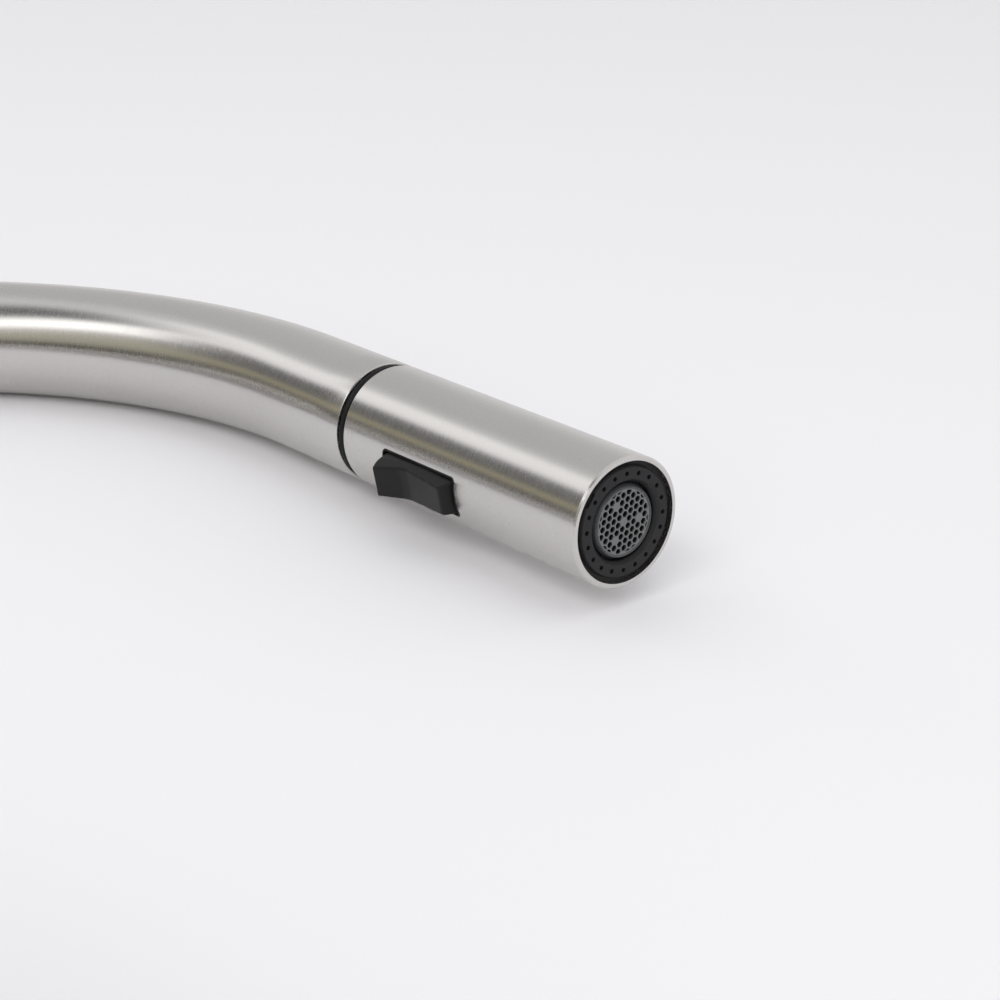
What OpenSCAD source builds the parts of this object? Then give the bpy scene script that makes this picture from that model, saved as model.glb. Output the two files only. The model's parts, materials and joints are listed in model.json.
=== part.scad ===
// Pull-down kitchen faucet: deck-mounted side-lever mixer with a swivelling gooseneck
// and a spray head that docks in the end of the spout.
// Frame: origin at the middle of the deck hole on the deck's top face, +Z up,
// the spout reaches towards -Y and the lever stands on the -X side.

/* [Spout] */
// Outside diameter of the spout tube and of the spray head
tube_d = 28; // [26:1:30]
// Wall of the spout tube
tube_wall = 1.2; // [1:0.1:1.4]
// Radius of the gooseneck's centreline, which is half the reach
bend_r = 118; // [100:1:130]
// Height of the spray head's outlet above the deck
outlet_z = 200; // [170:5:240]
// Straight length of tube between the spray head's top and the bend
dock_l = 31; // [28:1:36]
// Gap between the spout's end and the spray head's top
dock_gap = 2.4; // [2.2:0.1:2.8]

/* [Spray head] */
// Length of the spray head's steel sleeve
head_l = 77; // [74:1:84]
// Wall of that sleeve
head_wall = 1.1; // [1:0.1:1.2]
// Turn of the docked head, measured from +X to its rocker switch
rocker_turn = 77.2; // [60:0.1:110]
// Tilt of the rocker when its lower end is pressed
rocker_tilt = 11; // [8:0.5:11]
// Number of spray jets around the outlet
jet_count = 20; // [12:1:24]
// Radius of the circle of jets
jet_ring_r = 10.3; // [10:0.1:10.6]
// Diameter of one jet
jet_d = 1; // [0.8:0.1:1.2]
// Pitch of the honeycomb in the stream outlet
cell_pitch = 1.58; // [1.5:0.02:1.7]

/* [Body] */
// Diameter of the body
body_d = 44; // [43:0.5:46]
// Height of the top of the body above the deck
body_top = 118; // [116:1:124]
// Height of the lever's axis above the deck
lever_z = 58; // [56:1:60]
// Diameter of the side boss that holds the cartridge
boss_d = 34; // [34:0.5:36]
// Distance from the body's axis to the end of the boss
boss_end = 36; // [35:0.5:37]
// Diameter of the base flange
flange_d = 52; // [50:1:56]

/* [Mounting] */
// Outside diameter of the threaded shank
shank_d = 33; // [32:0.5:33]
// Length of the shank below the deck
shank_l = 62; // [55:1:70]
// Clear height between the base and the clamp below it, for the deck
deck_gap = 28; // [20:1:32]

/* [Lever] */
// Diameter of the lever's hub
hub_d = 32; // [30:0.5:32]
// Diameter of the lever's rod
rod_d = 8; // [7:0.5:9]
// Height of the rod's tip above the lever's axis
rod_top = 96; // [80:1:110]

/* [Hidden] */
$fn = 64;
eps = 0.01;

reach = 2 * bend_r;
tube_r = tube_d / 2;
bore_r = tube_r - tube_wall;
arc_z = outlet_z + head_l + dock_l;          // height of the bend's centre
spout_end_z = outlet_z + head_l + dock_gap;  // lower end of the spout tube
running = 0.05;                              // radial clearance of a turning or sliding fit
slack = 0.1;                                 // radial clearance of parts that only sit together

// Base and deck clamp
gasket_t = 1.5;
flange_t = 5;
shell_z = gasket_t + flange_t;               // lower end of the body shell
shank_r = shank_d / 2;
shank_bore_r = 14.8;
clamp_gasket_t = 2;
clamp_plate_t = 3;
nut_t = 12;
nut_z = -deck_gap - clamp_gasket_t - clamp_plate_t - 6;   // top of the mounting nut
jack_r = 21.5;                                 // distance of the jack screws from the axis

// Valve core and the bearings of the spout
wall = 2;
core_r = body_d / 2 - wall - slack;
core_z = 30;
core_top = 80;
hose_d = 9;
hose_way_r = 5;
port_ring_r = 10;                           // inlets and outlet stand on this circle
port_turns = [60, -60];                      // where the two inlets stand
inlet_r = 4.5;
inlet_depth = 11;
strainer_r = 3.2;
channel_r = 2.4;
seat_x = 14;                                 // the cartridge seats this far from the axis
cartridge_r = 12.5;
collar_z = 92;
collar_h = 6;
upper_bearing_z = 104;
lower_bearing_h = 10;

// Lever, all along its own axis, counted out from the body's axis
pivot_x = 33;                                // the lever tilts about this point
disc_t = 3;
disc_r = 10;
fixed_disc_x = seat_x + 2.1;
moving_disc_x = fixed_disc_x + disc_t + running;
carrier_x = moving_disc_x + disc_t + running;
disc_port_z = -1.5;                          // inlets of the fixed disc, below its middle
disc_port_y = 4.4;
disc_port_r = 1.4;
hub_x = boss_end + 7.5;
hub_l = 18;
dome_r = 14;                                 // radius of the ball that the hub turns over
rod_x = hub_x + 11;

// Spray head, all from its outlet plane upwards
head_r = tube_r;
head_bore_r = head_r - head_wall;
core_r_head = head_bore_r - slack;
core_low = 12;
neck_r = 9.7;
neck_top = head_l + 16;
rocker_z = 50;                               // the rocker's pin, in the middle of its window
rocker_u = 10.5;                             // the pin's distance from the head's axis
pin_r = 0.6;
rocker_l = 22.8;
rocker_w = 8.4;
rocker_face_w = 6.8;
dish = 13.8;                                 // slope of the rocker's two faces
dish_x = 4.87;                               // lowest line of the dished face, above the pin
dish_z = 3.2;
frame_l = 24.6;
frame_w = 9.6;
arm_l = 8.4;
arm_tip_r = 1.2;
spool_r = 3.55;
spool_bore_r = spool_r + running;
spool_travel = 2 * arm_l * sin(rocker_tilt);
chamber_low = 21;                            // the diverter's two seats
chamber_high = 28;
side_way_r = 8.6;                            // supply ways stand on this circle
side_turns = [150, 180, 210];
spray_turns = [30 : 60 : 330];
spray_way_r = 9.6;
poppet_z = 76;                               // underside of the check valve's seat

module tube(outer_r, inner_r, from, to) {
    translate([0, 0, from])
        difference() {
            cylinder(r = outer_r, h = to - from);
            translate([0, 0, -1]) cylinder(r = inner_r, h = to - from + 2);
        }
}

module disc(r, from, to) {
    translate([0, 0, from]) cylinder(r = r, h = to - from);
}

module cone(from_r, to_r, from, to) {
    translate([0, 0, from]) cylinder(r1 = from_r, r2 = to_r, h = to - from);
}

module o_ring(mid_r, cord, z) {
    translate([0, 0, z]) rotate_extrude() translate([mid_r, 0]) circle(d = cord);
}

// A tube's outline with its outer edges broken, for turned and sawn ends
module turned(outer_r, inner_r, from, to, edge) {
    rotate_extrude()
        polygon([
            [inner_r, from], [outer_r - edge, from], [outer_r, from + edge],
            [outer_r, to - edge], [outer_r - edge, to], [inner_r, to],
        ]);
}

module hexagon(flats, from, to) {
    translate([0, 0, from]) cylinder(r = flats / sqrt(3), h = to - from, $fn = 6);
}

// Up the riser, over the gooseneck and down to the dock
module along_spout(r, riser_from, outlet_to) {
    disc(r, riser_from, arc_z);
    translate([0, -bend_r, arc_z])
        rotate([90, 0, 90])
            rotate_extrude(angle = 180) translate([bend_r, 0]) circle(r = r);
    translate([0, -reach, 0]) disc(r, outlet_to, arc_z);
}

// Local z runs out along the lever's axis, and local x is up
module on_lever() {
    translate([0, 0, lever_z]) rotate([0, -90, 0]) children();
}

// Local z starts at the outlet, and local x points at the rocker
module on_head() {
    translate([0, -reach, outlet_z]) rotate([0, 0, rocker_turn]) children();
}

module at_ports(turns) {
    for (turn = turns) rotate([0, 0, turn]) translate([port_ring_r, 0, 0]) children();
}

// ---- base and deck clamp ----

module base_gasket() {
    color("#2b2b2d") tube(flange_d / 2 - 1.5, shank_r + 0.3, 0, gasket_t);
}

module base_flange() {
    color("silver") turned(flange_d / 2, shank_r + 0.3, gasket_t, shell_z, 0.6);
}

module body_shell() {
    color("silver")
        difference() {
            union() {
                turned(body_d / 2, 0, shell_z, body_top, 0.6);
                on_lever() disc(boss_d / 2, 0, boss_end);
            }
            disc(core_r + slack, shell_z - 1, body_top - 1.6);
            disc(tube_r + 0.2, body_top - 3, body_top + 1);
            on_lever() disc(cartridge_r + 0.3, 0, boss_end + 1);
            translate([0, 0, (upper_bearing_z + body_top) / 2 - 1]) rotate([-90, 0, 0]) disc(2, 15, body_d);
        }
}

module valve_core() {
    port_y = port_ring_r * sin(port_turns[0]);
    port_x = port_ring_r * cos(port_turns[0]);
    color("#b08d57")
        difference() {
            disc(core_r, core_z, core_top);
            disc(hose_way_r, core_z - 1, core_top + 1);
            on_lever() disc(cartridge_r + slack, seat_x, body_d);
            at_ports([port_turns[0], port_turns[1], 180]) {
                disc(inlet_r, core_z - 1, core_z + inlet_depth);
                disc(channel_r + 0.3, core_z, lever_z + 1);
            }
            at_ports(port_turns) disc(strainer_r, core_z, core_z + inlet_depth + 2);
            on_lever() {
                for (y = [-port_y, port_y]) translate([0, y, 0]) disc(channel_r, -port_x - 1, seat_x + 1);
                disc(channel_r, port_ring_r - 1, seat_x + 1);
            }
        }
}

// Wire ring that keeps the core in the shell
module core_clip() {
    color("#8c8c8c")
        difference() {
            tube(core_r, core_r - 2.5, core_z - 2, core_z - 0.5);
            translate([body_d / 2, 0, core_z]) cube([body_d, 8, 8], center = true);
        }
}

module shank() {
    color("#b9a06a")
        difference() {
            union() {
                disc(shank_r, -shank_l, core_z - 3);
                disc(core_r, shell_z + 12, core_z - 3);
            }
            disc(shank_bore_r, -shank_l - 1, core_z);
        }
}

module clamp_gasket() {
    color("#2b2b2d") tube(29, shank_r + 0.5, -deck_gap - clamp_gasket_t, -deck_gap);
}

module clamp_plate() {
    color("#a8a8a8")
        tube(28, shank_r + 0.5, -deck_gap - clamp_gasket_t - clamp_plate_t, -deck_gap - clamp_gasket_t);
}

module mounting_nut() {
    color("#b9a06a")
        difference() {
            union() {
                hexagon(46, nut_z - nut_t, nut_z);
                disc(28, nut_z - 4, nut_z);
            }
            disc(shank_r + running, nut_z - nut_t - 1, nut_z + 1);
            for (side = [-1, 1]) translate([0, side * jack_r, 0]) disc(2.6, nut_z - nut_t - 1, nut_z + 1);
        }
}

module jack_screws() {
    plate_z = -deck_gap - clamp_gasket_t - clamp_plate_t;
    color("#8f8f8f")
        for (side = [-1, 1])
            translate([0, side * jack_r, 0])
                difference() {
                    union() {
                        disc(2.5, nut_z - nut_t - 4, plate_z - 1);
                        cone(2.5, 1.2, plate_z - 1, plate_z);
                        disc(4, nut_z - nut_t - 8, nut_z - nut_t - 4);
                    }
                    translate([0, 0, nut_z - nut_t - 9]) cube([10, 1.2, 4], center = true);
                }
}

// ---- bearings of the spout ----

module lower_bearing() {
    color("#e8e6df") turned(core_r, tube_r + running, core_top + 0.2, core_top + lower_bearing_h, 0.5);
}

module upper_bearing() {
    color("#e8e6df")
        difference() {
            turned(core_r, tube_r + running, upper_bearing_z, body_top - 1.8, 0.5);
            o_ring(tube_r + 1, 2.6, upper_bearing_z + 3.5);
            translate([0, 0, (upper_bearing_z + body_top) / 2 - 1]) rotate([-90, 0, 0]) disc(2.05, core_r - 2.6, body_d);
        }
}

module bearing_screw() {
    color("#8f8f8f")
        translate([0, 0, (upper_bearing_z + body_top) / 2 - 1])
            rotate([-90, 0, 0])
                difference() {
                    disc(1.95, core_r - 2.4, body_d / 2 - 0.3);
                    hexagon(2, body_d / 2 - 2, body_d / 2);
                }
}

// ---- water ways below the cartridge ----

module inlet_strainers() {
    low = core_z + inlet_depth + slack;
    color("#d9d9d6")
        at_ports(port_turns)
            difference() {
                disc(strainer_r - slack, low, low + 1.8);
                for (turn = [0 : 60 : 300])
                    rotate([0, 0, turn]) translate([1.8, 0, 0]) disc(0.6, low - 1, low + 3);
            }
}

module outlet_tube() {
    color("#b87333")
        at_ports([180]) tube(inlet_r - slack, 2.6, -shank_l - 8, core_z + inlet_depth - 0.5);
}

module outlet_nipple() {
    z = -shank_l - 8;
    color("#b9a06a")
        at_ports([180])
            difference() {
                union() {
                    disc(4.6, z - 5, z - eps);
                    disc(3.4, z - 20, z - 5);
                }
                disc(2.2, z - 21, z + 1);
                o_ring(3.4, 1.8, z - 10);
                o_ring(3.4, 1.8, z - 15);
            }
}

module outlet_seals() {
    z = -shank_l - 8;
    color("#1c1c1e") at_ports([180]) for (down = [10, 15]) o_ring(3.35, 1.5, z - down);
}

// ---- cartridge ----

module cartridge_shell() {
    color("#d8d2c0")
        on_lever()
            difference() {
                disc(cartridge_r, seat_x + 2.1, boss_end - 4);
                disc(disc_r + 0.2, seat_x, carrier_x + 6);
                cone(6.5, 9, carrier_x + 5.9, boss_end - 3);
            }
}

module port_seal() {
    port_y = port_ring_r * sin(port_turns[0]);
    color("#1c1c1e")
        on_lever()
            difference() {
                disc(cartridge_r - 0.4, seat_x + 0.05, seat_x + 2);
                disc(channel_r, seat_x - 1, seat_x + 3);
                for (side = [-1, 1]) {
                    translate([0, side * port_y, 0]) disc(channel_r, seat_x - 1, seat_x + 3);
                    translate([disc_port_z, side * disc_port_y, 0]) disc(disc_port_r, seat_x - 1, seat_x + 3);
                    translate([disc_port_z, side * (disc_port_y + port_y) / 2, seat_x + 1])
                        cube([2 * disc_port_r, port_y - disc_port_y, 4], center = true);
                }
            }
}

module fixed_disc() {
    color("#f2f2ee")
        on_lever()
            difference() {
                disc(disc_r, fixed_disc_x, fixed_disc_x + disc_t);
                disc(channel_r, fixed_disc_x - 1, fixed_disc_x + disc_t + 1);
                for (side = [-1, 1])
                    translate([disc_port_z, side * disc_port_y, 0])
                        disc(disc_port_r, fixed_disc_x - 1, fixed_disc_x + disc_t + 1);
            }
}

module cartridge_nut() {
    color("#b9a06a")
        on_lever()
            difference() {
                disc(cartridge_r + 0.2, boss_end - 3.9, boss_end - 0.2);
                disc(9.4, boss_end - 5, boss_end);
                for (turn = [0 : 90 : 270])
                    rotate([0, 0, turn]) translate([11, 0, boss_end]) cube([4, 3, 3], center = true);
            }
}

// Ball-shaped collar between the boss and the hub, slotted for the stem's tilt
module dome_collar() {
    color("#1f1f21")
        on_lever()
            difference() {
                union() {
                    disc(dome_r, boss_end + slack, boss_end + 2);
                    intersection() {
                        translate([0, 0, pivot_x]) sphere(r = dome_r, $fn = 96);
                        disc(dome_r + 1, boss_end + 1.9, pivot_x + dome_r + 1);
                    }
                }
                translate([0, 0, pivot_x]) sphere(r = dome_r - 2, $fn = 96);
                translate([-8.4, -2.6, pivot_x]) cube([11.2, 5.2, dome_r + 1]);
            }
}

module stem_carrier() {
    color("#5f6a72")
        on_lever()
            difference() {
                union() {
                    disc(disc_r - 0.1, carrier_x, carrier_x + 5.6);
                    disc(6, carrier_x + 5.5, pivot_x + 3.5);
                }
                translate([-6.6, -2.2, carrier_x - 1]) cube([13.2, 4.4, body_d]);
                translate([0, 8, pivot_x]) rotate([90, 0, 0]) cylinder(r = 1.1, h = 16);
            }
}

module stem_pin() {
    color("#9a9a9a")
        on_lever() translate([0, 5.8, pivot_x]) rotate([90, 0, 0]) cylinder(r = 1, h = 11.6);
}

module moving_disc() {
    color("#f2f2ee")
        on_lever()
            difference() {
                disc(disc_r - 3.9, moving_disc_x, moving_disc_x + disc_t);
                translate([0, 0, moving_disc_x + disc_t]) cube([4.8, 4.8, 3], center = true);
                translate([-4.2, 0, moving_disc_x]) cube([1.8, 8, 1.6], center = true);
            }
}

// ---- lever ----

module lever_stem() {
    color("#a3a3a3")
        on_lever()
            difference() {
                union() {
                    translate([0, 0, pivot_x]) rotate([90, 0, 0]) cylinder(r = 2.6, h = 4.1, center = true);
                    translate([-2, -2, moving_disc_x + 1.7]) cube([4, 4, pivot_x - moving_disc_x - 1.7]);
                    translate([-2.2, -2.05, pivot_x]) cube([4.4, 4.1, hub_x + 9 - pivot_x]);
                }
                translate([0, 4, pivot_x]) rotate([90, 0, 0]) cylinder(r = 1 + running, h = 8);
            }
}

module lever_hub() {
    color("silver")
        on_lever()
            difference() {
                turned(hub_d / 2, 0, hub_x, hub_x + hub_l, 0.7);
                intersection() {
                    translate([0, 0, pivot_x]) sphere(r = dome_r + 0.4, $fn = 96);
                    disc(dome_r + 0.4, hub_x - 1, hub_x + 5);
                }
                translate([-2.25, -2.1, hub_x]) cube([4.5, 4.2, 9.2]);
                translate([0, 0, rod_x]) rotate([0, 90, 0]) disc(3, 4, hub_d);
                translate([0, 0, hub_x + 7]) rotate([0, -90, 0]) disc(1.5, 2, hub_d);
                translate([0, 0, hub_x + 7]) rotate([0, -90, 0]) disc(2.4, hub_d / 2 - 3, hub_d);
            }
}

module lever_rod() {
    color("silver")
        on_lever()
            translate([0, 0, rod_x])
                rotate([0, 90, 0]) {
                    disc(3 - slack, 5, hub_d / 2);
                    turned(rod_d / 2, 0, hub_d / 2 + 0.3, rod_top, 0.8);
                    disc(3 - slack, hub_d / 2 - eps, hub_d / 2 + 1);
                }
}

module hub_screw() {
    color("#6f6f6f")
        on_lever()
            translate([0, 0, hub_x + 7])
                rotate([0, -90, 0])
                    difference() {
                        disc(1.45, 2.3, 10);
                        hexagon(1.5, 8.5, 11);
                    }
}

module hub_plug() {
    color("#3a3a3c")
        on_lever() translate([0, 0, hub_x + 7]) rotate([0, -90, 0]) disc(2.35, hub_d / 2 - 2.8, hub_d / 2 - 0.2);
}

// ---- spout ----

module spout_tube() {
    color("silver")
        difference() {
            along_spout(tube_r, core_top + 2, spout_end_z);
            along_spout(bore_r, core_top, spout_end_z - 1);
        }
}

module spout_collar() {
    color("#b9a06a") turned(core_r - 2, tube_r + 0.02, collar_z, collar_z + collar_h, 0.4);
}

module spout_seal() {
    color("#1c1c1e") o_ring(tube_r + 1.15, 2.2, upper_bearing_z + 3.5);
}

module dock_insert() {
    color("#1b1b1d")
        translate([0, -reach, 0])
            difference() {
                union() {
                    disc(bore_r - 0.02, spout_end_z - eps, arc_z - 6);
                    turned(tube_r - 0.4, 5, spout_end_z - 1.3, spout_end_z - 0.01, 0.5);
                    disc(6, spout_end_z - 1.3, spout_end_z);
                }
                disc(neck_r + 0.3, spout_end_z - 3, arc_z);
                o_ring(neck_r + 0.75, 2.1, spout_end_z + 8);
            }
}

module dock_ring() {
    color("#2b2b2d") translate([0, -reach, 0]) o_ring(neck_r + 0.95, 1.6, spout_end_z + 8);
}

module hose_riser() {
    color("#4a4c50") disc(hose_d / 2, -shank_l - 14, arc_z);
}

module hose_arc() {
    color("#4a4c50")
        translate([0, -bend_r, arc_z])
            rotate([90, 0, 90])
                rotate_extrude(angle = 180) translate([bend_r, 0]) circle(r = hose_d / 2);
}

// The stretch that runs out with the head
module hose_exit() {
    color("#4a4c50") translate([0, -reach, 0]) disc(hose_d / 2, outlet_z + neck_top - 2.5, arc_z);
}

// Guide ring that keeps the hose off the riser's lower edge
module hose_bush() {
    color("#e8e6df") turned(bore_r - 0.05, hose_d / 2 + 0.6, core_top + 3, core_top + 11, 0.4);
}

module hose_tail() {
    z = -shank_l - 14;
    color("#b9a06a")
        difference() {
            union() {
                disc(5.6, z - 8, z - eps);
                disc(3.9, z - 22, z - 7.9);
            }
            disc(2.4, z - 23, z - 2);
            o_ring(3.9, 1.8, z - 13);
            o_ring(3.9, 1.8, z - 18);
        }
}

module tail_seals() {
    z = -shank_l - 14;
    color("#1c1c1e") for (down = [13, 18]) o_ring(3.85, 1.5, z - down);
}

// ---- end of the hose ----

module hose_nut() {
    z = outlet_z + neck_top;
    color("#56585c")
        translate([0, -reach, 0])
            difference() {
                union() {
                    disc(6.45, z - 12, z + 0.2);
                    hexagon(15, z + 0.1, z + 4);
                    cone(7.2, 5.8, z + 3.9, z + 10);
                }
                disc(3, z - 13, z + 7);
                disc(5.35, z - 3, z + 12);
            }
}

module hose_ferrule() {
    z = outlet_z + neck_top;
    color("#b4b4b4") translate([0, -reach, 0]) tube(5.25, hose_d / 2 + 0.05, z - 2.8, z + 13);
}

module nut_seal() {
    z = outlet_z + neck_top - 13.5;
    color("#1c1c1e") translate([0, -reach, 0]) tube(6.2, 3.2, z, z + 1.4);
}

// ---- spray head ----

// A block with the rocker window's rounded outline, running outwards from from_u
module rocker_window(l, w, from_u, corner = 1) {
    translate([from_u, 0, rocker_z])
        rotate([0, 90, 0])
            linear_extrude(height = 2 * head_r)
                union() {
                    square([l - 2 * corner, w], center = true);
                    square([l, w - 2 * corner], center = true);
                    for (x = [-1, 1], y = [-1, 1])
                        translate([x * (l / 2 - corner), y * (w / 2 - corner)]) circle(r = corner);
                }
}

module head_shell() {
    color("silver")
        on_head()
            difference() {
                turned(head_r, head_bore_r, 0, head_l, 0.35);
                rocker_window(frame_l, frame_w, 5);
            }
}

module head_core() {
    chamber_r = 5.2;
    link_r = 1.1;
    color("#1b1b1d")
        on_head()
            difference() {
                union() {
                    disc(core_r_head, core_low, head_l - 0.7);
                    disc(neck_r, head_l - 0.8, neck_top);
                }
                disc(6.5, neck_top - 13.6, neck_top + 1);
                disc(4.6, poppet_z - 10, neck_top);
                disc(1.05, poppet_z - 13, poppet_z - 9);
                disc(spool_bore_r, chamber_high + 5, rocker_z + 12);
                disc(chamber_r, chamber_low, chamber_high);
                disc(4.2, chamber_high - 1, chamber_high + 5.1);
                disc(4, core_low - 1, chamber_low + 1);
                for (turn = side_turns)
                    rotate([0, 0, turn]) {
                        translate([side_way_r, 0, 0]) disc(1.3, 24, poppet_z - 7.5);
                        for (z = [25.3, poppet_z - 8.8])
                            translate([0, 0, z]) rotate([0, 90, 0]) disc(link_r, 2, side_way_r);
                    }
                for (turn = spray_turns)
                    rotate([0, 0, turn]) {
                        translate([spray_way_r, 0, 0]) disc(1.3, core_low - 1, chamber_high + 4);
                        translate([0, 0, chamber_high + 2.5]) rotate([0, 90, 0]) disc(link_r, 2, spray_way_r);
                    }
                rocker_window(frame_l, frame_w, 7.2);
                translate([rocker_u / 2, 0, rocker_z]) cube([rocker_u, 3.4, 7.4], center = true);
                translate([rocker_u, 9, rocker_z]) rotate([90, 0, 0]) cylinder(r = pin_r + running, h = 18);
            }
}

module face_plate() {
    color("#2a2a2d")
        on_head()
            difference() {
                rotate_extrude()
                    polygon([
                        [8.4, 2.4], [8.4, 1], [9, 0.15], [11.5, 0.15], [11.75, 0.5], [11.9, 1.3],
                        [head_bore_r - 0.05, 1.3], [head_bore_r - 0.05, 11.9], [11.2, 11.9], [11.2, 2.4],
                    ]);
                rotate([0, 0, -rocker_turn])
                    for (k = [0 : jet_count - 1])
                        rotate([0, 0, k * 360 / jet_count])
                            translate([jet_ring_r, 0, 0]) disc(jet_d / 2, -1, 3);
                rotate([0, 0, -rocker_turn])
                    for (turn = [125, 305])
                        rotate([0, 0, turn]) translate([11.9, 0, 0]) cube([1.2, 3, 2], center = true);
            }
}

module face_seal() {
    color("#1c1c1e") on_head() tube(11, 9.3, core_low - 1.3, core_low - 0.1);
}

module aerator_housing() {
    color("#77797b")
        on_head()
            rotate_extrude()
                polygon([
                    [7, 0.55], [7.35, 0.4], [7.6, 0.75], [7.85, 1.5], [7.85, 2.9], [9, 3.2], [9, 4.6],
                    [7.85, 4.6], [7.85, 10.4], [7, 10.4], [7, 3.9], [6.7, 3.9], [6.7, 3.4], [7, 3.4],
                ]);
}

// A hexagonal grid, with the middle cell and three around it left solid
module aerator_grid() {
    solid_cells = [[0, 0], [2, 1], [-3, 2], [1, -3]];
    grid_r = 6.98;
    color("#77797b")
        on_head()
            rotate([0, 0, 10.9 - rocker_turn])
                translate([0, 0, 0.6])
                    linear_extrude(height = 2.6)
                        difference() {
                            circle(r = grid_r);
                            for (i = [-5 : 5], j = [-5 : 5]) {
                                x = cell_pitch * (i + j / 2);
                                y = cell_pitch * j * sqrt(3) / 2;
                                is_solid = len([for (cell = solid_cells) if (cell == [i, j]) 1]) > 0;
                                if (norm([x, y]) < grid_r && !is_solid)
                                    intersection() {
                                        translate([x, y])
                                            rotate([0, 0, 30]) circle(r = 0.8 * cell_pitch / sqrt(3), $fn = 6);
                                        circle(r = grid_r - 0.25);
                                    }
                            }
                        }
}

module aerator_screen() {
    color("#9b9b9b")
        on_head()
            difference() {
                disc(6.9, 8.6, 10.2);
                for (turn = [0 : 45 : 315])
                    rotate([0, 0, turn]) translate([4.4, 0, 0]) disc(1.2, 8, 11);
            }
}

module aerator_seal() {
    color("#1c1c1e") on_head() tube(7.8, 5.4, 10.5, core_low - 0.1);
}

// Thin bezel that fills the window around the rocker
module rocker_frame() {
    color("#19191b")
        on_head()
            intersection() {
                tube(head_r + 0.12, core_r_head + 0.02, rocker_z - 20, rocker_z + 20);
                difference() {
                    rocker_window(frame_l - 0.04, frame_w - 0.04, 7);
                    rocker_window(frame_l - 0.7, frame_w - 0.7, 6, 0.6);
                }
            }
}

module rocker_pin() {
    color("#9a9a9a")
        on_head() translate([rocker_u, 6.1, rocker_z]) rotate([90, 0, 0]) cylinder(r = pin_r, h = 12.2);
}

// Outline of the rocker seen from its side, with x away from the head's axis
function rocker_outline() = [
    [-0.4, -rocker_l / 2 + 0.3], [4.6, -rocker_l / 2 + 0.25], [6.6, -rocker_l / 2 + 1.1],
    [dish_x + (dish_z + 9.2) * tan(dish), -9.2],
    [dish_x + 0.12, dish_z - 1], [dish_x + 0.12, dish_z + 1],
    [dish_x + 7.4 * tan(dish), dish_z + 7.4], [6.2, rocker_l / 2 - 0.75], [4.6, rocker_l / 2 - 0.25],
    [-0.4, rocker_l / 2 - 0.3],
    [-0.4, 2.5], [-1.4, 1.5], [-1.4, -1.5], [-0.4, -2.5],
];

module rocker() {
    color("#1f1f21")
        on_head()
            translate([rocker_u, 0, rocker_z])
                rotate([0, rocker_tilt, 0])
                    difference() {
                        union() {
                            intersection() {
                                translate([0, rocker_w, 0])
                                    rotate([90, 0, 0])
                                        linear_extrude(height = 2 * rocker_w) polygon(rocker_outline());
                                translate([0, 0, -rocker_l])
                                    linear_extrude(height = 2 * rocker_l)
                                        polygon([
                                            [-2, -rocker_w / 2], [3.2, -rocker_w / 2], [7.8, -rocker_face_w / 2],
                                            [7.8, rocker_face_w / 2], [3.2, rocker_w / 2], [-2, rocker_w / 2],
                                        ]);
                            }
                            translate([-arm_l, -0.9, -0.9]) cube([arm_l, 1.8, 1.8]);
                            translate([-arm_l, 0.9, 0]) rotate([90, 0, 0]) cylinder(r = arm_tip_r, h = 1.8);
                        }
                        translate([0, 8, 0]) rotate([90, 0, 0]) cylinder(r = pin_r + running, h = 16);
                    }
}

// Rocker up: its head closes the upper seat and water goes to the stream
module diverter_spool() {
    tip_z = rocker_z + spool_travel / 2;
    head_h = chamber_high - chamber_low - spool_travel - 0.2;
    color("#c9c4b4")
        on_head()
            difference() {
                union() {
                    disc(spool_r, chamber_high + 7, rocker_z + 10);
                    disc(2.4, chamber_high - 1, chamber_high + 7.1);
                    disc(4.9, chamber_high - 0.1 - head_h, chamber_high - 0.1);
                }
                translate([rocker_u - arm_l - arm_tip_r - 0.2, -spool_r, tip_z - arm_tip_r - 0.1])
                    cube([spool_r, 2 * spool_r, 2 * arm_tip_r + 0.2]);
                for (z = [rocker_z - 8, rocker_z + 8]) tube(spool_r + 1, spool_r - 1.3, z - 0.7, z + 0.7);
            }
}

module spool_seals() {
    color("#1c1c1e") on_head() for (z = [rocker_z - 8, rocker_z + 8]) o_ring(spool_r - 0.65, 1.2, z);
}

module valve_seat() {
    color("#d9d9d6") on_head() tube(4.55, 2.4, poppet_z, poppet_z + 2);
}

module check_poppet() {
    color("#d9d9d6")
        on_head() {
            disc(3.2, poppet_z - 1.8, poppet_z - 0.05);
            disc(1, poppet_z - 11.2, poppet_z - 1.7);
        }
}

module check_spring() {
    color("#9a9a9a") on_head() tube(2.6, 1.8, poppet_z - 9.95, poppet_z - 1.85);
}

base_gasket();
base_flange();
body_shell();
valve_core();
shank();
core_clip();
clamp_gasket();
clamp_plate();
mounting_nut();
jack_screws();
lower_bearing();
upper_bearing();
bearing_screw();
inlet_strainers();
outlet_tube();
outlet_nipple();
outlet_seals();
cartridge_shell();
port_seal();
fixed_disc();
cartridge_nut();
dome_collar();
stem_carrier();
stem_pin();
moving_disc();
lever_stem();
lever_hub();
lever_rod();
hub_screw();
hub_plug();
spout_tube();
spout_collar();
spout_seal();
dock_insert();
dock_ring();
hose_riser();
hose_arc();
hose_exit();
hose_bush();
hose_tail();
tail_seals();
hose_nut();
hose_ferrule();
nut_seal();
head_shell();
head_core();
face_plate();
face_seal();
aerator_housing();
aerator_grid();
aerator_screen();
aerator_seal();
rocker_frame();
rocker_pin();
valve_seat();
rocker();
diverter_spool();
spool_seals();
check_poppet();
check_spring();
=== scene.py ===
import json
import math
import bmesh
import bpy
from mathutils import Matrix, Vector


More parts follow.
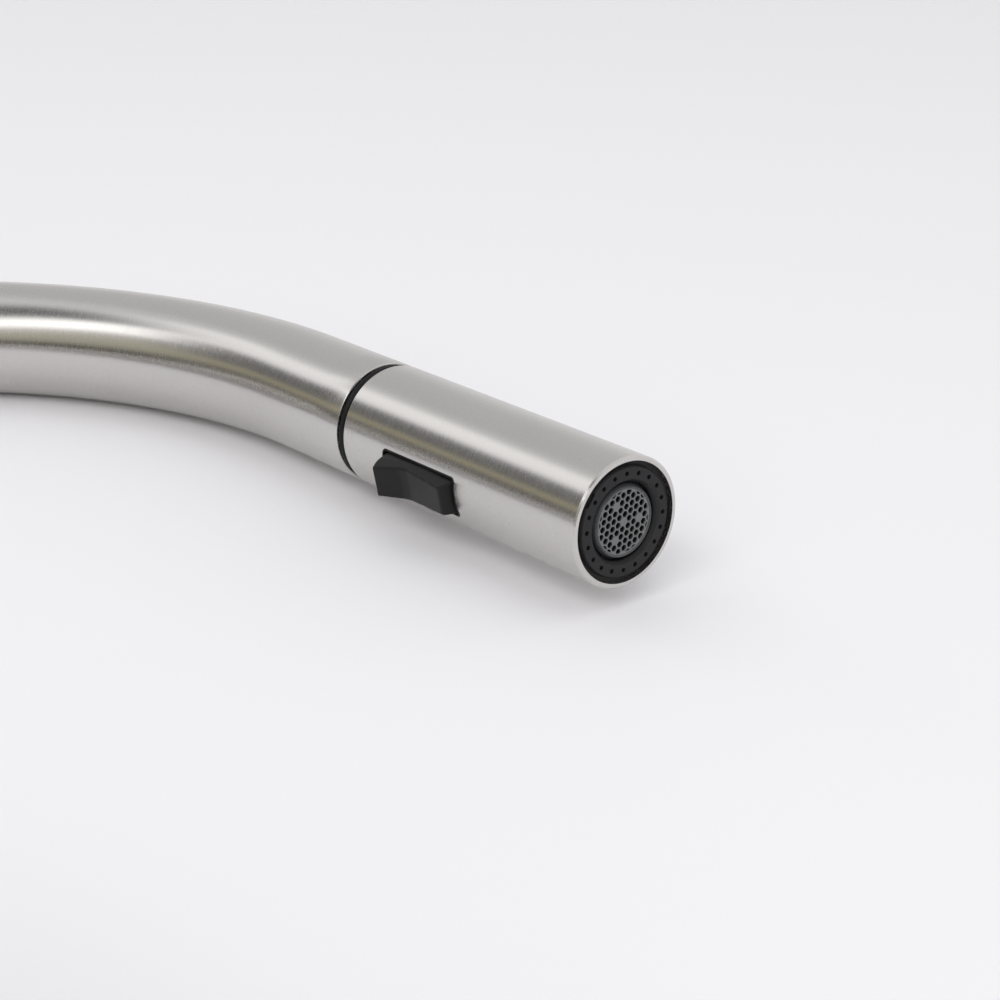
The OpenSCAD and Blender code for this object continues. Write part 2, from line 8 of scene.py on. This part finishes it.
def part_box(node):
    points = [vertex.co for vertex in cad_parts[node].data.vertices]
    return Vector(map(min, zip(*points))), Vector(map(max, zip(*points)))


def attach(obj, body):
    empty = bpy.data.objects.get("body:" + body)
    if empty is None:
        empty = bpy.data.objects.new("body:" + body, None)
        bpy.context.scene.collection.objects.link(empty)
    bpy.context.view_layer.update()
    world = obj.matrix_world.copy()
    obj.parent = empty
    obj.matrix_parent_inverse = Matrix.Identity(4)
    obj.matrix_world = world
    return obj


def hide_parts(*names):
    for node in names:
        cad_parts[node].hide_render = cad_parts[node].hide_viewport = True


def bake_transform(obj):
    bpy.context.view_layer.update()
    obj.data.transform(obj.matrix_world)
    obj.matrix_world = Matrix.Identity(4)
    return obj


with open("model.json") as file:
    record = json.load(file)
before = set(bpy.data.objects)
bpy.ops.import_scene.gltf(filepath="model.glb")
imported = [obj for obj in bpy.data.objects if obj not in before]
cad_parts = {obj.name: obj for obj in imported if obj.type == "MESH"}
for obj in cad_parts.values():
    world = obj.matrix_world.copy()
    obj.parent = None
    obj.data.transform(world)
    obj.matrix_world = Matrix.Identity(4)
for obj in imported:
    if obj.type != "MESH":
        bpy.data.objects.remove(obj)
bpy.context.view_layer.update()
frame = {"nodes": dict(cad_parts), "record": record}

MM = 0.001
TURN = 2 * math.pi
MERGED = 0.001 * MM  # points closer than this are one

# ---- sizes, read from the frame ----

tube_low, tube_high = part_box("spout_tube")
head_low, head_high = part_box("head_shell")
tube_r = tube_high.x
tube_wall = 1.2 * MM
head_y = (head_low.y + head_high.y) / 2
outlet_z = head_low.z
bend_r = -head_y / 2
bend_z = tube_high.z - tube_r - bend_r
dock_lip = 1.3 * MM
tube_end_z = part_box("dock_insert")[0].z + dock_lip
hose_r = (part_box("hose_riser")[1].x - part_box("hose_riser")[0].x) / 2
disc_low, disc_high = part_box("fixed_disc")
lever_z = (disc_low.z + disc_high.z) / 2
rod_x = (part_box("lever_rod")[0].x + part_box("lever_rod")[1].x) / 2
body_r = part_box("body_shell")[1].x

head_axis = Vector((0, head_y, 0))
bend_centre = Vector((0, -bend_r, bend_z))
UP = Vector((0, 0, 1))
BODY_AXIS = (Vector((0, 0, 0)), UP)
HEAD_AXIS = (head_axis, UP)
LEVER_AXIS = (Vector((0, 0, lever_z)), Vector((-1, 0, 0)))
ROD_AXIS = (Vector((rod_x, 0, 0)), UP)


# ---- wrapping a piece for the brushing, which runs round its own axis ----

def round_axis(point, axis):
    """Turns round the axis, and metres along the piece's outline, for a turned piece."""
    axis = Vector(axis).normalized()
    side = axis.orthogonal().normalized()
    up = axis.cross(side)
    point = Vector(point)

    def place(p):
        away = p - point
        a, b = away.dot(side), away.dot(up)
        return math.atan2(b, a) / TURN, away.dot(axis) - math.hypot(a, b)

    return place


def round_spout(p):
    """The same round the spout's centreline: up the riser, over the bend and down to the dock."""
    bend_length = math.pi * bend_r
    if p.z > bend_z:
        away = p - bend_centre
        along = math.atan2(away.z, away.y)
        out = math.hypot(away.y, away.z) - bend_r
        return math.atan2(p.x, out) / TURN, along * bend_r
    if p.y > -bend_r:
        return math.atan2(p.x, p.y) / TURN, p.z - bend_z
    return math.atan2(p.x, head_y - p.y) / TURN, bend_length + bend_z - p.z


upright = round_axis(*BODY_AXIS)
on_head = round_axis(*HEAD_AXIS)
on_lever = round_axis(*LEVER_AXIS)


def on_body(p):
    """The body is brushed round itself, and its side boss round the lever's axis."""
    on_boss = p.x < 0 and math.hypot(p.x, p.y) > body_r + 0.02 * MM
    return on_lever(p) if on_boss else upright(p)


def wrap(mesh, place):
    """Lays the piece's UV map by place, and keeps the faces across its seam whole."""
    layer = mesh.uv_layers.new(name="wrap")
    for face in mesh.polygons:
        spots = [place(mesh.vertices[mesh.loops[i].vertex_index].co) for i in face.loop_indices]
        highest = max(u for u, v in spots)
        for i, (u, v) in zip(face.loop_indices, spots):
            layer.data[i].uv = (u + 1 if highest - u > 0.5 else u, v)


# ---- making pieces ----

finished = set()  # the CAD nodes that have their finished piece


def finish_piece(node, bm, place, material=None, rides=True, sharp=32):
    """Smooths and wraps the mesh, and puts it in its CAD node's place.

    A piece that stretches between two bodies rides on neither.
    """
    name = node + "_finished"
    mesh = bpy.data.meshes.new(name)
    bm.to_mesh(mesh)
    bm.free()
    for face in mesh.polygons:
        face.use_smooth = True
    mesh.set_sharp_from_angle(angle=math.radians(sharp))
    wrap(mesh, place)
    mesh.materials.append(material or FINISHES[slot_of[node]])
    piece = bpy.data.objects.new(name, mesh)
    bpy.context.scene.collection.objects.link(piece)
    if rides:
        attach(piece, body_of(node))
    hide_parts(node)
    finished.add(node)
    return piece


def closed_up(bm):
    """The same shape with its doubles merged and its faces turned outwards."""
    bmesh.ops.remove_doubles(bm, verts=bm.verts, dist=MERGED)
    bmesh.ops.recalc_face_normals(bm, faces=bm.faces)
    return bm


def copied(node):
    """A merged copy of a CAD node's mesh, with its flat faces joined up."""
    bm = bmesh.new()
    bm.from_mesh(frame["nodes"][node].data)
    bmesh.ops.remove_doubles(bm, verts=bm.verts, dist=2 * MERGED)
    bmesh.ops.dissolve_limit(bm, angle_limit=math.radians(0.4), verts=bm.verts, edges=bm.edges)
    return bm


def body_of(node):
    bodies = frame["record"]["behaviour"]["bodies"]
    return next(body for body, nodes in bodies.items() if node in nodes)


def radial_shading(mesh, axes):
    """Shades the faces that lie round one of the axes as true round surfaces."""
    round_enough = math.cos(math.radians(7))
    normals = [n.vector.copy() for n in mesh.corner_normals]
    for face in mesh.polygons:
        for point, axis in axes:
            middle = face.center - point
            out = middle - middle.dot(axis) * axis
            if out.length < 0.5 * MM:
                continue
            if abs(out.normalized().dot(face.normal)) < round_enough:
                continue
            side = 1 if out.dot(face.normal) > 0 else -1
            for i in face.loop_indices:
                away = mesh.vertices[mesh.loops[i].vertex_index].co - point
                normals[i] = side * (away - away.dot(axis) * axis).normalized()
            break
    mesh.normals_split_custom_set(normals)


def node_piece(node, place, axes=(), material=None):
    """A finished copy of a CAD node."""
    piece = finish_piece(node, copied(node), place, material)
    if axes:
        radial_shading(piece.data, axes)
    return piece


def change(piece, kind, **settings):
    """Adds a modifier."""
    modifier = piece.modifiers.new(kind.lower(), kind)
    for key, value in settings.items():
        setattr(modifier, key, value)


def soft(outline, radius, steps=3):
    """The same outline with its corners rounded."""
    made = []
    for i, point in enumerate(outline):
        here = Vector(point)
        back = Vector(outline[i - 1]) - here
        on = Vector(outline[(i + 1) % len(outline)]) - here
        corner = back.angle(on)
        reach = radius / math.tan(corner / 2)
        if corner > math.radians(165) or reach > 0.45 * min(back.length, on.length):
            made.append(tuple(here))
            continue
        start, end = here + back.normalized() * reach, here + on.normalized() * reach
        for k in range(steps + 1):
            t = k / steps
            made.append(tuple((1 - t) ** 2 * start + 2 * t * (1 - t) * here + t * t * end))
    return made


def turned_piece(node, outline, sharp=40):
    """A CAD node made anew by turning a closed outline, in mm, round the body's axis."""
    bm = bmesh.new()
    verts = [bm.verts.new((r * MM, 0, h * MM)) for r, h in outline]
    edges = [bm.edges.new(pair) for pair in zip(verts, verts[1:] + verts[:1])]
    bmesh.ops.spin(bm, geom=verts + edges, cent=(0, 0, 0), axis=UP, angle=TURN, steps=160,
                   use_merge=True)
    finish_piece(node, closed_up(bm), upright, sharp=sharp)


# ---- materials ----

class Wiring:
    """Short calls for wiring one node tree."""

    def __init__(self, tree):
        self.tree = tree

    def add(self, kind, settings=None, **inputs):
        """A new node. An input is named, or numbered as i0, i1 and so on."""
        node = self.tree.nodes.new(kind)
        for key, value in (settings or {}).items():
            setattr(node, key, value)
        for key, value in inputs.items():
            self.feed(node, key, value)
        return node

    def feed(self, node, key, value):
        numbered = key[0] == "i" and key[1:].isdigit()
        socket = node.inputs[int(key[1:])] if numbered else node.inputs[key]
        if isinstance(value, bpy.types.NodeSocket):
            self.tree.links.new(value, socket)
        else:
            socket.default_value = value

    def math(self, operation, a, b=0.0):
        return self.add("ShaderNodeMath", {"operation": operation}, i0=a, i1=b).outputs[0]

    def noise(self, vector, scale, detail=4.0, roughness=0.6):
        return self.add("ShaderNodeTexNoise", Vector=vector, Scale=scale, Detail=detail,
                        Roughness=roughness).outputs["Fac"]

    def ranged(self, value, low, high, from_low=0.25, from_high=0.75, kind="LINEAR"):
        node = self.add("ShaderNodeMapRange", {"interpolation_type": kind}, Value=value)
        for key, number in (("From Min", from_low), ("From Max", from_high),
                            ("To Min", low), ("To Max", high)):
            node.inputs[key].default_value = number
        return node.outputs["Result"]

    def bump(self, height, strength, distance):
        return self.add("ShaderNodeBump", Height=height, Strength=strength,
                        Distance=distance).outputs["Normal"]

    def colours(self, share, low, high):
        """A mix of two colours, each given as three numbers or as a socket."""
        node = self.add("ShaderNodeMix", {"data_type": "RGBA"}, Factor=share)
        for key, colour in (("i6", low), ("i7", high)):
            self.feed(node, key, (*colour, 1) if isinstance(colour, tuple) else colour)
        return node.outputs[2]


class Finish(Wiring):
    """The wiring of one material."""

    def __init__(self, name):
        self.material = bpy.data.materials.new(name)
        self.material.use_nodes = True
        super().__init__(self.material.node_tree)
        self.shader = self.tree.nodes["Principled BSDF"]

    def place(self):
        return self.add("ShaderNodeTexCoord").outputs["Object"]

    def round_piece(self):
        """The turn round the piece's axis, and the metres along its outline."""
        spot = self.add("ShaderNodeUVMap", {"uv_map": "wrap"}).outputs["UV"]
        parts = self.add("ShaderNodeSeparateXYZ", Vector=spot).outputs
        return parts["X"], parts["Y"]

    def height(self):
        return self.add("ShaderNodeSeparateXYZ", Vector=self.place()).outputs["Z"]

    def set(self, **values):
        for key, value in values.items():
            self.feed(self.shader, key.replace("_", " "), value)
        return self.material


def shaded(colour, share):
    """The same colour, darker or lighter by a share."""
    return tuple(min(1.0, share * c) for c in colour)


RELIEF = 0.02 * MM  # how deep brushing, turning marks and moulded texture are
MOULD_GRAIN = 2600.0
TURNING_MARKS = 900.0


def brushed_steel(name, tint=(0.60, 0.585, 0.57), roughness=0.24):
    """Stainless steel with brushing that runs round each piece."""
    m = Finish(name)
    turn, along = m.round_piece()
    angle = m.math("MULTIPLY", turn, TURN)
    cosine, sine = m.math("COSINE", angle), m.math("SINE", angle)

    def strokes(per_turn, per_metre):
        return m.add("ShaderNodeCombineXYZ", X=m.math("MULTIPLY", cosine, per_turn),
                     Y=m.math("MULTIPLY", sine, per_turn),
                     Z=m.math("MULTIPLY", along, per_metre)).outputs[0]

    hairs = m.noise(strokes(12.0, 4600), 1.0, 3.0, 0.7)
    streaks = m.noise(strokes(3.0, 1300), 1.0, 4.0, 0.65)
    clouds = m.noise(strokes(1.1, 30), 1.0, 2.0, 0.5)
    brushing = m.math("ADD", m.math("MULTIPLY", hairs, 0.65), m.math("MULTIPLY", streaks, 0.35))
    tone = m.math("ADD", m.math("MULTIPLY", brushing, 0.7), m.math("MULTIPLY", clouds, 0.3))
    tone = m.ranged(tone, 0, 1, 0.35, 0.65)
    tangent = m.add("ShaderNodeTangent", {"direction_type": "UV_MAP", "uv_map": "wrap"}).outputs[0]
    return m.set(Base_Color=m.colours(tone, shaded(tint, 0.965), shaded(tint, 1.035)),
                 Metallic=1.0,
                 Roughness=m.ranged(brushing, roughness - 0.05, roughness + 0.06, 0.3, 0.7),
                 Anisotropic=0.7, Anisotropic_Rotation=0.25, Tangent=tangent,
                 Normal=m.bump(brushing, 0.1, RELIEF))


def moulded(name, colour, roughness, texture, gloss=0.5):
    """Moulded plastic or rubber with a fine spark-eroded texture."""
    m = Finish(name)
    place = m.place()
    grain = m.noise(place, MOULD_GRAIN, 3.0)
    patches = m.noise(place, 140.0, 3.0)
    return m.set(Base_Color=m.colours(patches, shaded(colour, 0.8), shaded(colour, 1.25)),
                 Roughness=m.ranged(patches, roughness - 0.05, roughness + 0.06),
                 Specular_IOR_Level=gloss, Normal=m.bump(grain, texture, RELIEF))


def cells(name, face, painted_shade_colour):
    """Grey plastic for the aerator's cells, with painted shade that darkens them a little way in.
    """
    m = Finish(name)
    face_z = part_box("aerator_grid")[0].z
    # painted shade: from just below the grid's face, the colour darkens to near black deeper in
    # the cells
    painted_shade_depth = m.ranged(m.height(), 0, 1, face_z + 0.04 * MM, face_z + 0.5 * MM)
    grain = m.noise(m.place(), MOULD_GRAIN, 3.0)
    return m.set(Base_Color=m.colours(painted_shade_depth, face, painted_shade_colour), Roughness=m.ranged(grain, 0.26, 0.36),
                 Specular_IOR_Level=0.4, Normal=m.bump(grain, 0.1, RELIEF))


def metal(name, colour, roughness):
    """Plain turned, plated or drawn metal."""
    m = Finish(name)
    place = m.place()
    marks = m.noise(place, TURNING_MARKS, 4.0)
    patches = m.noise(place, 90.0, 3.0)
    return m.set(Base_Color=m.colours(patches, shaded(colour, 0.85), shaded(colour, 1.12)),
                 Metallic=1.0, Roughness=m.ranged(marks, roughness - 0.06, roughness + 0.08),
                 Normal=m.bump(marks, 0.12, RELIEF))


def braid(name, hanging=False):
    """Black nylon braid over the spray hose.

    On the hanging stretch it is laid out by height, so it never stretches.
    """
    m = Finish(name)
    strands, per_metre = 12, 2600.0
    turn, along = m.round_piece()
    turns = m.math("MULTIPLY", turn, strands * TURN)
    along = m.math("MULTIPLY", m.height() if hanging else along, per_metre)
    left = m.math("SINE", m.math("ADD", turns, along))
    right = m.math("SINE", m.math("SUBTRACT", turns, along))
    weave = m.math("MAXIMUM", left, right)
    tone = m.colours(m.ranged(weave, 0, 1, -1, 1), (0.012, 0.012, 0.014), (0.10, 0.10, 0.11))
    return m.set(Base_Color=tone, Roughness=m.ranged(weave, 0.7, 0.42, -1, 1),
                 Normal=m.bump(weave, 0.6, 0.15 * MM))


steel = brushed_steel("brushed stainless steel")
black_plastic = moulded("matt black plastic", (0.008, 0.0078, 0.0084), 0.40, 0.3, gloss=0.24)
plate_plastic = moulded("charcoal plate plastic", (0.0165, 0.016, 0.0172), 0.46, 0.5, gloss=0.2)
grey_plastic = moulded("grey aerator plastic", (0.055, 0.057, 0.060), 0.32, 0.12, gloss=0.5)
# the second colour is painted shade deep inside the aerator's cells
cell_plastic = cells("grey cell plastic", (0.135, 0.139, 0.142), (0.012, 0.012, 0.013))
white_plastic = moulded("white acetal", (0.75, 0.74, 0.70), 0.35, 0.1)
rubber = moulded("black rubber", (0.014, 0.014, 0.015), 0.6, 0.4, gloss=0.3)
nut_plastic = moulded("dark grey nylon", (0.09, 0.09, 0.1), 0.38, 0.15)
ceramic = moulded("lapped ceramic", (0.86, 0.86, 0.83), 0.12, 0.03)
brass = metal("turned brass", (0.72, 0.56, 0.30), 0.26)
plated = metal("zinc plated steel", (0.62, 0.62, 0.63), 0.32)
screen_wire = metal("dark screen wire", (0.10, 0.10, 0.10), 0.5)
copper = metal("drawn copper", (0.78, 0.46, 0.30), 0.28)
braided = braid("nylon braid")
hanging_braid = braid("nylon braid hanging", hanging=True)

FINISHES = {
    "stainless": steel, "black_plastic": black_plastic, "charcoal_plate": plate_plastic,
    "grey_plastic": grey_plastic, "white_plastic": white_plastic, "rubber": rubber,
    "brass": brass, "zinc_steel": plated, "copper": copper, "ceramic": ceramic,
    "hose": braided, "nut_grey": nut_plastic,
}
slot_of = {part["node"]: part["material_slot"] for part in frame["record"]["subparts"]}
for node, thing in frame["nodes"].items():
    thing.data.materials.clear()
    thing.data.materials.append(FINISHES[slot_of[node]])


# ---- spout ----

def drawn_on(bm, edges, drop):
    """Draws an open ring of edges on by a height, and gives the new open ring."""
    made = bmesh.ops.extrude_edge_only(bm, edges=edges)["geom"]
    bmesh.ops.translate(bm, vec=(0, 0, drop),
                        verts=[g for g in made if isinstance(g, bmesh.types.BMVert)])
    return [g for g in made if isinstance(g, bmesh.types.BMEdge) and len(g.link_faces) == 1]


def swept_spout():
    """The tube's outer wall: up the riser, round the bend and down to the dock."""
    riser_steps, bend_steps, drop_steps = 12, 160, 3
    bm = bmesh.new()
    ring = bmesh.ops.create_circle(bm, segments=128, radius=tube_r)["verts"]
    bmesh.ops.translate(bm, vec=(0, 0, tube_low.z), verts=ring)
    edges = list({e for v in ring for e in v.link_edges})
    for step in range(riser_steps):
        edges = drawn_on(bm, edges, (bend_z - tube_low.z) / riser_steps)
    ends = list({v for e in edges for v in e.verts})
    made = bmesh.ops.spin(bm, geom=edges + ends, cent=bend_centre, axis=(1, 0, 0), angle=math.pi,
                          steps=bend_steps, use_merge=False)["geom_last"]
    edges = [g for g in made if isinstance(g, bmesh.types.BMEdge)]
    for step in range(drop_steps):
        edges = drawn_on(bm, edges, (tube_end_z - bend_z) / drop_steps)
    return closed_up(bm)


def spout():
    piece = finish_piece("spout_tube", swept_spout(), round_spout)
    change(piece, "SOLIDIFY", thickness=tube_wall, offset=-1.0, use_even_offset=True)
    change(piece, "BEVEL", width=0.18 * MM, segments=2, limit_method="ANGLE",
           angle_limit=math.radians(50))


# ---- hose ----

def hose_end_face(at):
    """The hose's round end, and all its geometry."""
    bm = bmesh.new()
    ring = bmesh.ops.create_circle(bm, segments=48, radius=hose_r, cap_ends=True)
    bmesh.ops.translate(bm, vec=at, verts=ring["verts"])
    return bm, list(bm.verts) + list(bm.edges) + list(bm.faces)


def straight_hose(low, high, rings):
    bm, geom = hose_end_face(low)
    step = (Vector(high) - Vector(low)) / rings
    bmesh.ops.spin(bm, geom=geom, cent=(0, 0, 0), axis=UP, dvec=step, angle=0, steps=rings)
    return closed_up(bm)


def bent_hose(steps):
    """The half turn over the bend."""
    bm, geom = hose_end_face((0, 0, bend_z))
    bmesh.ops.spin(bm, geom=geom, cent=bend_centre, axis=(1, 0, 0), angle=math.pi, steps=steps)
    return closed_up(bm)


def hose():
    riser_low = (0, 0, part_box("hose_riser")[0].z)
    riser_high = (0, 0, bend_z - 0.1 * MM)
    fall_high = (0, head_y, bend_z)
    fall_low = (0, head_y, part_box("hose_exit")[0].z)
    finish_piece("hose_riser", straight_hose(riser_low, riser_high, 24), round_spout)
    finish_piece("hose_arc", bent_hose(120), round_spout)
    falling = finish_piece("hose_exit", straight_hose(fall_high, fall_low, 60), round_spout,
                           hanging_braid, rides=False)
    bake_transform(falling)


# ---- stage, light and camera ----

def stage():
    """A pale sheet that the faucet lies against with its +X side, seen through from behind."""
    size = 3.6
    gap = 0.1 * MM
    lean = 0.0325
    contact = math.radians(55)
    touch = bend_centre + bend_r * Vector((0, -math.cos(contact), math.sin(contact)))
    touch.x = tube_r + gap
    normal = Vector((-1, lean * math.cos(contact), -lean * math.sin(contact))).normalized()
    bm = bmesh.new()
    bmesh.ops.create_grid(bm, x_segments=1, y_segments=1, size=size / 2)
    turn = UP.rotation_difference(normal).to_matrix().to_4x4()
    bmesh.ops.transform(bm, matrix=Matrix.Translation(touch) @ turn, verts=bm.verts)
    mesh = bpy.data.meshes.new("table")
    bm.to_mesh(mesh)
    bm.free()
    m = Finish("pale table")
    m.set(Base_Color=(0.82, 0.815, 0.84, 1), Roughness=0.6, Specular_IOR_Level=0.2)
    through = m.add("ShaderNodeBsdfTransparent").outputs[0]
    back = m.add("ShaderNodeNewGeometry").outputs["Backfacing"]
    either = m.add("ShaderNodeMixShader", i0=back, i1=m.shader.outputs[0], i2=through)
    m.tree.links.new(either.outputs[0], m.tree.nodes["Material Output"].inputs["Surface"])
    mesh.materials.append(m.material)
    table = bpy.data.objects.new("table", mesh)
    bpy.context.scene.collection.objects.link(table)


# Each row is a place from the near horizon over the top to the far one, as a share of that half
# turn, and the light there.
ROOM = (
    (0.00, (0.17, 0.16, 0.15)), (0.065, (0.16, 0.15, 0.14)), (0.085, (0.42, 0.39, 0.27)),
    (0.115, (0.42, 0.39, 0.27)), (0.135, (0.17, 0.165, 0.16)), (0.235, (0.16, 0.155, 0.16)),
    (0.285, (1.15, 1.14, 1.15)), (0.38, (1.4, 1.39, 1.4)), (0.43, (0.8, 0.8, 0.8)),
    (0.50, (0.64, 0.64, 0.64)), (0.78, (0.67, 0.67, 0.665)), (1.00, (0.88, 0.87, 0.87)),
)

ROOM_LOW = (  # the same below the faucet's bend
    (0.00, (0.06, 0.055, 0.05)), (0.045, (0.07, 0.065, 0.05)), (0.075, (0.46, 0.45, 0.36)),
    (0.155, (0.60, 0.58, 0.48)), (0.195, (0.75, 0.74, 0.72)), (0.22, (2.1, 2.08, 2.05)),
    (0.28, (2.3, 2.3, 2.28)), (0.31, (0.2, 0.2, 0.2)), (0.385, (0.06, 0.06, 0.06)),
    (0.415, (0.5, 0.5, 0.5)), (0.46, (0.9, 0.9, 0.9)), (0.6, (0.82, 0.82, 0.82)),
    (1.00, (1.05, 1.04, 1.04)),
)


UNDER = (0.8, 0.8, 0.8)  # the light from under the table, for what swings past it
GROUND = (0.82, 0.82, 0.84)  # what the camera sees where the table ends


def sky(light):
    """The light all the way round: dark at both horizons and UNDER between them below."""
    edge = light[0][1]
    below = [(0.0, edge), (0.015, edge), (0.025, UNDER), (0.475, UNDER), (0.485, edge)]
    return below + [(0.5 + at / 2, colour) for at, colour in light]


def room():
    """A grey studio round the table, with a long soft light above it."""
    world = bpy.data.worlds.new("studio")
    bpy.context.scene.world = world
    world.use_nodes = True
    w = Wiring(world.node_tree)
    direction = w.add("ShaderNodeTexCoord").outputs["Generated"]
    parts = w.add("ShaderNodeSeparateXYZ", Vector=direction).outputs
    over = w.math("ARCTAN2", w.math("MULTIPLY", parts["X"], -1.0), parts["Y"])
    share = w.math("ADD", w.math("MULTIPLY", over, 0.5 / math.pi), 0.5)
    skies = []
    for light in (ROOM, ROOM_LOW):
        ramp = w.add("ShaderNodeValToRGB", i0=share)
        stops = ramp.color_ramp.elements
        steps = sky(light)
        while len(stops) < len(steps):
            stops.new(0.5)
        for stop, (at, colour) in zip(stops, steps):
            stop.position = at
            stop.color = (*colour, 1)
        skies.append(ramp.outputs[0])
    lower = w.ranged(parts["Z"], 0, 1, 0.58, 0.2, kind="SMOOTHSTEP")
    by_camera = w.add("ShaderNodeLightPath").outputs["Is Camera Ray"]
    seen = w.colours(by_camera, w.colours(lower, *skies), GROUND)
    w.tree.links.new(seen, w.tree.nodes["Background"].inputs["Color"])


def soft_light(name, at, towards, size, power):
    """A square soft box that the steel doesn't mirror."""
    data = bpy.data.lights.new(name, "AREA")
    data.shape = "RECTANGLE"
    data.size = data.size_y = size
    data.energy = power
    lamp = bpy.data.objects.new(name, data)
    lamp.location = at
    lamp.rotation_euler = (Vector(towards) - Vector(at)).to_track_quat("-Z", "Y").to_euler()
    lamp.visible_glossy = False
    bpy.context.scene.collection.objects.link(lamp)


def lights():
    """Two large soft boxes that light the table and the plastics."""
    soft_light("table fill", (-1.3, -0.1, 0.25), (0.03, -0.15, 0.28), 1.6, 2.0)
    soft_light("front fill", (-1.1, 1.2, -0.7), (0.03, -0.2, 0.24), 1.7, 18.0)


def camera():
    data = bpy.data.cameras.new("camera")
    data.sensor_width = 36
    data.lens = 80.43  # mm
    data.clip_start = 0.01
    eye = bpy.data.objects.new("camera", data)
    right = Vector((-0.01616, -0.76959, -0.63833)).normalized()
    ahead = Vector((0.34513, -0.60347, 0.71882))
    ahead = (ahead - ahead.dot(right) * right).normalized()
    above = right.cross(ahead)
    outlet = Vector((0, head_y, outlet_z))
    place = outlet + Vector((-0.15804, 0.28804, -0.30385))
    turn = Matrix((right, above, -ahead)).transposed().to_4x4()
    eye.matrix_world = Matrix.Translation(place) @ turn
    bpy.context.scene.collection.objects.link(eye)
    bpy.context.scene.camera = eye


# ---- pieces ----

def thread(radius, depth, low, high, pitch):
    """Crests and roots of a screw thread, from low to high."""
    root = radius - depth
    count = round((high - low) / pitch)
    made = []
    for i in range(count):
        z = low + i * pitch
        made += [(root, z), (radius, z + 0.42 * pitch), (radius, z + 0.58 * pitch)]
    return made + [(root, low + count * pitch)]


def washer(node, hole_r, rim_r, low, high, rounding):
    """A flat ring with soft corners, in mm."""
    outline = [(hole_r, low), (rim_r, low), (rim_r, high), (hole_r, high)]
    turned_piece(node, soft(outline, rounding))


def base():
    """The flange and gasket on the deck, the threaded shank and the clamp's washers, in mm."""
    hole_r, flange_r, seat, top = 16.8, 26.0, 1.5, 6.5
    turned_piece("base_flange", soft([
        (hole_r, seat), (flange_r - 0.6, seat), (flange_r, seat + 0.6), (flange_r, top - 1.0),
        (flange_r - 1.0, top), (hole_r, top)], 0.5))
    washer("base_gasket", hole_r, 24.5, 0, seat, 0.3)
    shank_bore_r, shank_r, head_r = 14.8, 16.5, 19.9
    foot, shoulder, crown = -62.0, 18.5, 27.0
    turned_piece("shank", [
        (shank_bore_r, foot), (shank_r - 0.8, foot),
        *thread(shank_r, 0.75, foot + 0.6, -1.4, 1.5),
        (shank_r, -1.2), (shank_r, shoulder), (head_r, shoulder), (head_r, crown),
        (shank_bore_r, crown)], sharp=25)
    clamp_hole_r, rubber_low, rubber_high, plate_low = 17.0, -30.0, -28.0, -33.0
    washer("clamp_gasket", clamp_hole_r, 29.0, rubber_low, rubber_high, 0.5)
    washer("clamp_plate", clamp_hole_r, 28.0, plate_low, rubber_low, 0.4)


def rocker():
    """The rocker with its edges softened as a moulding's are."""
    piece = node_piece("rocker", on_head)
    change(piece, "REMESH", mode="VOXEL", voxel_size=0.16 * MM, use_smooth_shade=True)
    change(piece, "SMOOTH", factor=0.5, iterations=45)


def spring():
    """The check valve's coil spring, which shortens between the head's core and the poppet."""
    low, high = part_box("check_spring")
    wire_r, turns, steps = 0.3 * MM, 5, 120
    rise = (high.z - low.z - 2 * wire_r) / steps
    bm = bmesh.new()
    ring = bmesh.ops.create_circle(bm, segments=12, radius=wire_r, cap_ends=True)["verts"]
    bmesh.ops.rotate(bm, cent=(0, 0, 0), matrix=Matrix.Rotation(math.pi / 2, 3, "X"), verts=ring)
    bmesh.ops.translate(bm, vec=(high.x - wire_r, head_y, low.z + wire_r), verts=ring)
    bmesh.ops.spin(bm, geom=list(bm.verts) + list(bm.edges) + list(bm.faces), cent=head_axis,
                   axis=UP, dvec=(0, 0, rise), angle=turns * TURN, steps=steps)
    piece = finish_piece("check_spring", closed_up(bm), on_head, rides=False)
    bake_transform(piece)


HEAD_NODES = (
    "head_shell", "head_core", "face_plate", "face_seal", "aerator_housing", "aerator_seal",
    "rocker_frame", "valve_seat", "spool_seals", "check_poppet", "diverter_spool", "nut_seal",
    "hose_nut", "hose_ferrule", "dock_insert", "dock_ring",
)
LEVER_NODES = (
    "cartridge_shell", "port_seal", "fixed_disc", "cartridge_nut", "dome_collar", "stem_carrier",
    "moving_disc", "lever_stem", "lever_hub", "hub_plug", "hub_screw", "stem_pin",
)

camera()
stage()
room()
lights()
spout()
hose()
base()
node_piece("body_shell", on_body, axes=(BODY_AXIS, LEVER_AXIS))
node_piece("lever_rod", round_axis(*ROD_AXIS), axes=(ROD_AXIS,))
rocker()
spring()
node_piece("aerator_screen", on_head, material=screen_wire)
node_piece("aerator_grid", on_head, material=cell_plastic)
for node in HEAD_NODES:
    node_piece(node, on_head, axes=(HEAD_AXIS,))
for node in LEVER_NODES:
    node_piece(node, on_lever, axes=(LEVER_AXIS,))
for node in frame["nodes"]:
    if node not in finished:
        node_piece(node, upright, axes=(BODY_AXIS,))
bpy.context.scene.view_settings.view_transform = "Standard"
